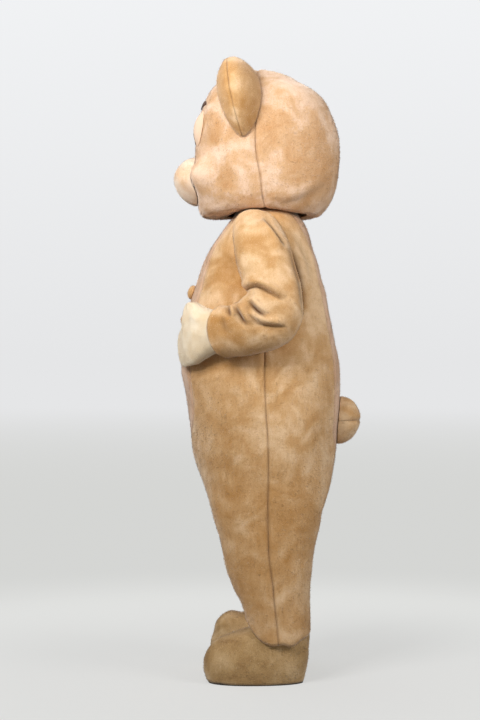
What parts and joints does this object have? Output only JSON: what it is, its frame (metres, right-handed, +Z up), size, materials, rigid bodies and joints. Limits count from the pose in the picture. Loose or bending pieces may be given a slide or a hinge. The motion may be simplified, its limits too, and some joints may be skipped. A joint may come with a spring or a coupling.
{
  "type": "bear mascot costume",
  "caption": "Hollow worn bear costume of short plush: full head, one-piece suit, mitts and boots, with a ball tail.",
  "frame": {"origin": "midway between the wearer's shoulders, where the worn suit is held up", "axes": "+Z up; the bear faces -Y and its left side is +X"},
  "size_m": [0.774, 0.5965, 1.937],
  "materials": {
    "tan_plush": "short brushed plush, soft and matt",
    "pink_tan_plush": "short brushed plush, a little pinker",
    "cream_plush": "short cream plush",
    "brown_plush": "short darker plush",
    "sole_rubber": "matt dark sole sheet",
    "eye_felt": "smooth pale felt",
    "dark_felt": "dark felt"
  },
  "bodies": {
    "root": {"back_panel_left": "pink_tan_plush", "back_panel_right": "pink_tan_plush", "belly_panel": "pink_tan_plush", "boot_sole_left": "sole_rubber", "boot_sole_right": "sole_rubber", "boot_upper_left": "brown_plush", "boot_upper_right": "brown_plush", "brow_left": "dark_felt", "brow_right": "dark_felt", "button_1": "tan_plush", "button_2": "tan_plush", "ear_back_left": "tan_plush", "ear_back_right": "tan_plush", "ear_front_left": "tan_plush", "ear_front_right": "tan_plush", "eye_left": "eye_felt", "eye_right": "eye_felt", "head_back_left": "tan_plush", "head_back_right": "tan_plush", "head_face": "tan_plush", "mitt_back_left": "cream_plush", "mitt_back_right": "cream_plush", "mitt_palm_left": "cream_plush", "mitt_palm_right": "cream_plush", "muzzle_left": "tan_plush", "muzzle_right": "tan_plush", "nose": "dark_felt", "sleeve_left": "tan_plush", "sleeve_right": "tan_plush", "suit_back_left": "tan_plush", "suit_back_right": "tan_plush", "suit_front_left": "tan_plush", "suit_front_right": "tan_plush", "tail_lower": "tan_plush", "tail_upper": "tan_plush"}
  },
  "joints": []
}
